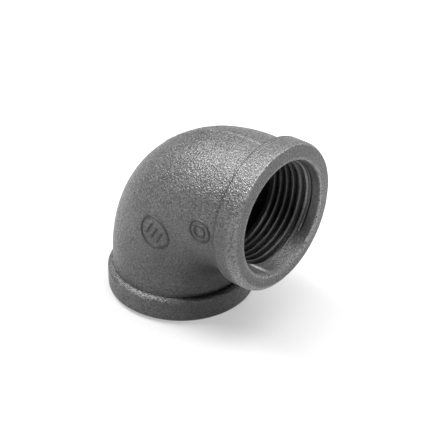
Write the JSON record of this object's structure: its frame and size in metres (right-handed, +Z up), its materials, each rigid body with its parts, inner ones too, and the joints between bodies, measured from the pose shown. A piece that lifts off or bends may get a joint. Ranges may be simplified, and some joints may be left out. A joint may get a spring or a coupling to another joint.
{
  "type": "pipe elbow",
  "caption": "Banded 90 degree malleable-iron pipe elbow with an internal thread in each mouth, a long smooth bend and low cast marks on one flank.",
  "frame": {"origin": "centre of the base port's face, on the plane that the face rests on", "axes": "+Z up the base port's axis, +X out of the outlet port, Y across the plane of symmetry, with the cast marks on the -Y flank"},
  "size_m": [0.0602, 0.0444, 0.0602],
  "materials": {
    "cast_skin": "sand-cast skin, dark grey, fine grained and lightly oiled",
    "cut_thread": "machined thread, darkened and oiled"
  },
  "bodies": {
    "root": {"bend": "cast_skin", "base_socket": "cast_skin", "base_band": "cast_skin", "base_thread": "cut_thread", "outlet_socket": "cast_skin", "outlet_band": "cast_skin", "outlet_thread": "cut_thread", "large_cast_mark": "cast_skin", "small_cast_mark": "cast_skin", "outer_mould_seam": "cast_skin", "inner_mould_seam": "cast_skin"}
  },
  "joints": []
}
